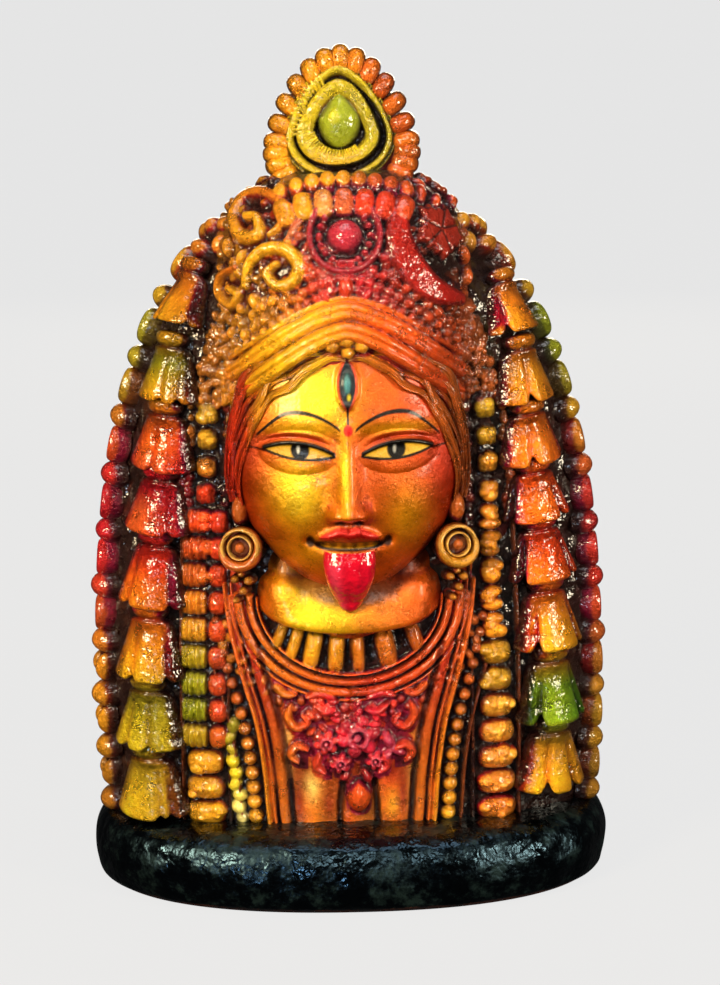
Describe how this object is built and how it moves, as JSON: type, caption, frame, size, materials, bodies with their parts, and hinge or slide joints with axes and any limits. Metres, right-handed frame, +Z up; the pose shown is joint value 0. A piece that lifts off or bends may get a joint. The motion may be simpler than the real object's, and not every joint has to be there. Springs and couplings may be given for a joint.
{
  "type": "moulded clay idol",
  "caption": "Moulded clay bust of a crowned goddess with her tongue out, between flower garlands and bead strings, on a rounded plinth.",
  "frame": {"origin": "middle of the plinth's flat underside", "axes": "+Z up the figure, -Y the way the face looks, +X to the viewer's right"},
  "size_m": [0.125, 0.072, 0.1981],
  "materials": {
    "painted_clay": "hand painted gold and red over black, gloss lacquer"
  },
  "bodies": {
    "root": {"kali_figure": "painted_clay"}
  },
  "joints": []
}
